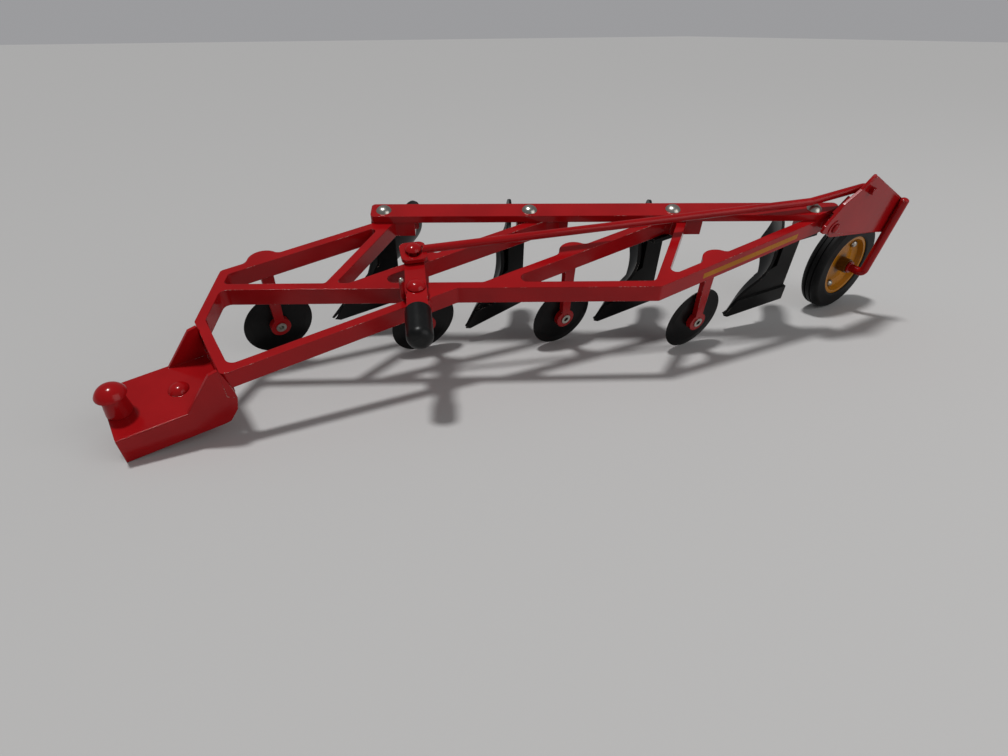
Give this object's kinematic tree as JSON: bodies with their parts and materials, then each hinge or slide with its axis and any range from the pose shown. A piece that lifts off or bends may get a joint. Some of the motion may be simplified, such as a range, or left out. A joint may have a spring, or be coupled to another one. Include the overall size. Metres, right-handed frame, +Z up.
{
  "type": "toy moldboard plough",
  "caption": "Die-cast toy moldboard plough: slanted lattice frame, black bottoms behind rolling coulters, stamped drawbar, and a lever whose rod tilts the rear wheel.",
  "frame": {"origin": "on the hitch pin's axis, where its free stem leaves the underside of the drawbar's plate", "axes": "+Z up from the floor the plough rests on, -Y the way it is pulled, +X to the plough's left; the frame leans nose down and left side down, as the toy comes to rest"},
  "size_m": [0.1264, 0.3446, 0.0702],
  "materials": {
    "red_enamel": "gloss",
    "black_enamel": "satin",
    "nickel": "polished",
    "black_vinyl": "satin",
    "gold_enamel": "gloss",
    "black_rubber": "matte"
  },
  "bodies": {
    "frame": {"bottom_body_1": "black_enamel", "bottom_body_2": "black_enamel", "bottom_body_3": "black_enamel", "bottom_body_4": "black_enamel", "bracket_pin": "red_enamel", "coulter_eyelet_1": "nickel", "coulter_eyelet_2": "nickel", "coulter_eyelet_3": "nickel", "coulter_eyelet_4": "nickel", "drawbar": "red_enamel", "drawbar_rivet": "red_enamel", "hitch_pin": "red_enamel", "lever_pivot_rivet": "red_enamel", "moldboard_1": "black_enamel", "moldboard_2": "black_enamel", "moldboard_3": "black_enamel", "moldboard_4": "black_enamel", "plough_frame": "red_enamel", "rail_rivet_1": "nickel", "rail_rivet_2": "nickel", "rail_rivet_3": "nickel", "rail_rivet_4": "nickel", "top_rail": "red_enamel"},
    "lever": {"lift_lever": "red_enamel", "lever_grip": "black_vinyl", "rod_rivet": "red_enamel"},
    "bracket": {"wheel_bracket": "red_enamel", "wheel_axle": "red_enamel", "axle_cap": "nickel"},
    "rod": {"lift_rod": "red_enamel"},
    "wheel": {"wheel_hub": "gold_enamel", "wheel_tyre": "black_rubber"},
    "coulter_1": {"coulter_disc_1": "black_enamel"},
    "coulter_2": {"coulter_disc_2": "black_enamel"},
    "coulter_3": {"coulter_disc_3": "black_enamel"},
    "coulter_4": {"coulter_disc_4": "black_enamel"}
  },
  "joints": [
    {"name": "coulter_spin_1", "type": "hinge", "parent": "frame", "child": "coulter_1", "pos_m": [-0.05046, 0.06468, 0.00094], "axis": [0.9563, 0.0467, -0.2886], "continuous": true},
    {"name": "coulter_spin_2", "type": "hinge", "parent": "frame", "child": "coulter_2", "pos_m": [-0.02033, 0.11787, 0.00094], "axis": [0.9563, 0.0467, -0.2886], "continuous": true},
    {"name": "coulter_spin_3", "type": "hinge", "parent": "frame", "child": "coulter_3", "pos_m": [0.00314, 0.17257, 0.00094], "axis": [0.9563, 0.0467, -0.2886], "continuous": true},
    {"name": "coulter_spin_4", "type": "hinge", "parent": "frame", "child": "coulter_4", "pos_m": [0.03519, 0.21866, 0.00094], "axis": [0.9563, 0.0467, -0.2886], "continuous": true},
    {"name": "lever_swing", "type": "hinge", "parent": "frame", "child": "lever", "pos_m": [0.0121, 0.10172, 0.02745], "axis": [0.2924, -0.1529, 0.944], "range_deg": [0, 30]},
    {"name": "bracket_swing", "type": "hinge", "parent": "frame", "child": "bracket", "pos_m": [0.05457, 0.27514, 0.03688], "axis": [0.9563, 0.0467, -0.2886], "range_deg": [0, 34.3]},
    {"name": "rod_hook", "type": "hinge", "parent": "bracket", "child": "rod", "pos_m": [0.0586, 0.28764, 0.05227], "axis": [0.9563, 0.0467, -0.2886], "range_deg": [-32.4, 1]},
    {"name": "wheel_spin", "type": "hinge", "parent": "bracket", "child": "wheel", "pos_m": [0.03421, 0.31519, 0.00974], "axis": [0.9793, 0.0989, -0.1766], "continuous": true}
  ],
  "couplings": [
    {"joint": "bracket_swing", "follows": "lever_swing", "ratio": 1.11},
    {"joint": "rod_hook", "follows": "lever_swing", "ratio": -1.046}
  ]
}
